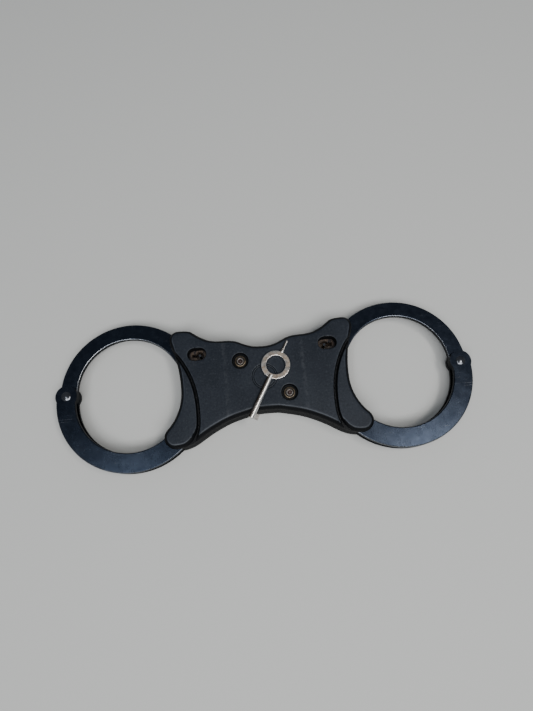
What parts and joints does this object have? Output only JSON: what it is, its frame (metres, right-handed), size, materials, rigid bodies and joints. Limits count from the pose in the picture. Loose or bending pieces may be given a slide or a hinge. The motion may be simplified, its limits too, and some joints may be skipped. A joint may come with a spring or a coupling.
{
  "type": "rigid handcuffs",
  "caption": "Rigid handcuffs: swing-through ratchet cuffs on a moulded bar grip, with double locks inside and a small tubular key resting on the grip.",
  "frame": {"origin": "middle of the grip's flat back face", "axes": "+X along the cuffs towards the right cuff, +Y towards the bows, +Z out of the front of the grip, away from the surface it lies on"},
  "size_m": [0.2382, 0.0861, 0.0231],
  "materials": {
    "blued_steel": "satin",
    "grip_plastic": "matte",
    "rivet_steel": "satin",
    "case_steel": "matte",
    "spring_steel": "satin",
    "screw_steel": "matte",
    "key_metal": "satin"
  },
  "bodies": {
    "frame": {"cheek_plate_upper_right": "blued_steel", "cheek_plate_lower_right": "blued_steel", "pivot_rivet_right": "rivet_steel", "case_rivets_right": "rivet_steel", "shoulder_spacer_right": "case_steel", "pawl_pin_right": "rivet_steel", "pawl_spring_right": "spring_steel", "detent_spring_right": "spring_steel", "key_post_right": "rivet_steel", "cheek_plate_upper_left": "blued_steel", "cheek_plate_lower_left": "blued_steel", "pivot_rivet_left": "rivet_steel", "case_rivets_left": "rivet_steel", "shoulder_spacer_left": "case_steel", "pawl_pin_left": "rivet_steel", "pawl_spring_left": "spring_steel", "detent_spring_left": "spring_steel", "key_post_left": "rivet_steel", "grip_shell_front": "grip_plastic", "grip_shell_back": "grip_plastic", "core_plate": "case_steel", "grip_screws": "screw_steel", "grip_nuts": "screw_steel"},
    "bow_right": {"bow_right": "blued_steel"},
    "pawl_right": {"pawl_right": "case_steel"},
    "lock_bar_right": {"double_lock_bar_right": "case_steel"},
    "bow_left": {"bow_left": "blued_steel"},
    "pawl_left": {"pawl_left": "case_steel"},
    "lock_bar_left": {"double_lock_bar_left": "case_steel"},
    "key": {"key_ring": "key_metal", "key_tube": "key_metal", "key_pin": "key_metal"}
  },
  "joints": [
    {"name": "bow_swing_right", "type": "hinge", "parent": "frame", "child": "bow_right", "pos_m": [0.113, 0, 0.01], "axis": [0, 0, 1], "continuous": true},
    {"name": "pawl_lift_right", "type": "hinge", "parent": "frame", "child": "pawl_right", "pos_m": [0.03994, -0.02234, 0.01], "axis": [0, 0, 1], "range_deg": [0, 5.5], "stiffness_Nm_per_rad": 0.15, "springref_deg": -11.46, "deforming": ["pawl_spring_right"]},
    {"name": "double_lock_slide_right", "type": "slide", "parent": "frame", "child": "lock_bar_right", "axis": [0, 1, 0], "range_m": [-0.0024, 0]},
    {"name": "bow_swing_left", "type": "hinge", "parent": "frame", "child": "bow_left", "pos_m": [-0.113, 0, 0.01], "axis": [0, 0, -1], "continuous": true},
    {"name": "pawl_lift_left", "type": "hinge", "parent": "frame", "child": "pawl_left", "pos_m": [-0.03994, -0.02234, 0.01], "axis": [0, 0, -1], "range_deg": [0, 5.5], "stiffness_Nm_per_rad": 0.15, "springref_deg": -11.46, "deforming": ["pawl_spring_left"]},
    {"name": "double_lock_slide_left", "type": "slide", "parent": "frame", "child": "lock_bar_left", "axis": [0, 1, 0], "range_m": [-0.0024, 0]},
    {"name": "key_lift", "type": "slide", "parent": "frame", "child": "key", "axis": [0, 0, 1], "range_m": [0, 0.04]}
  ]
}
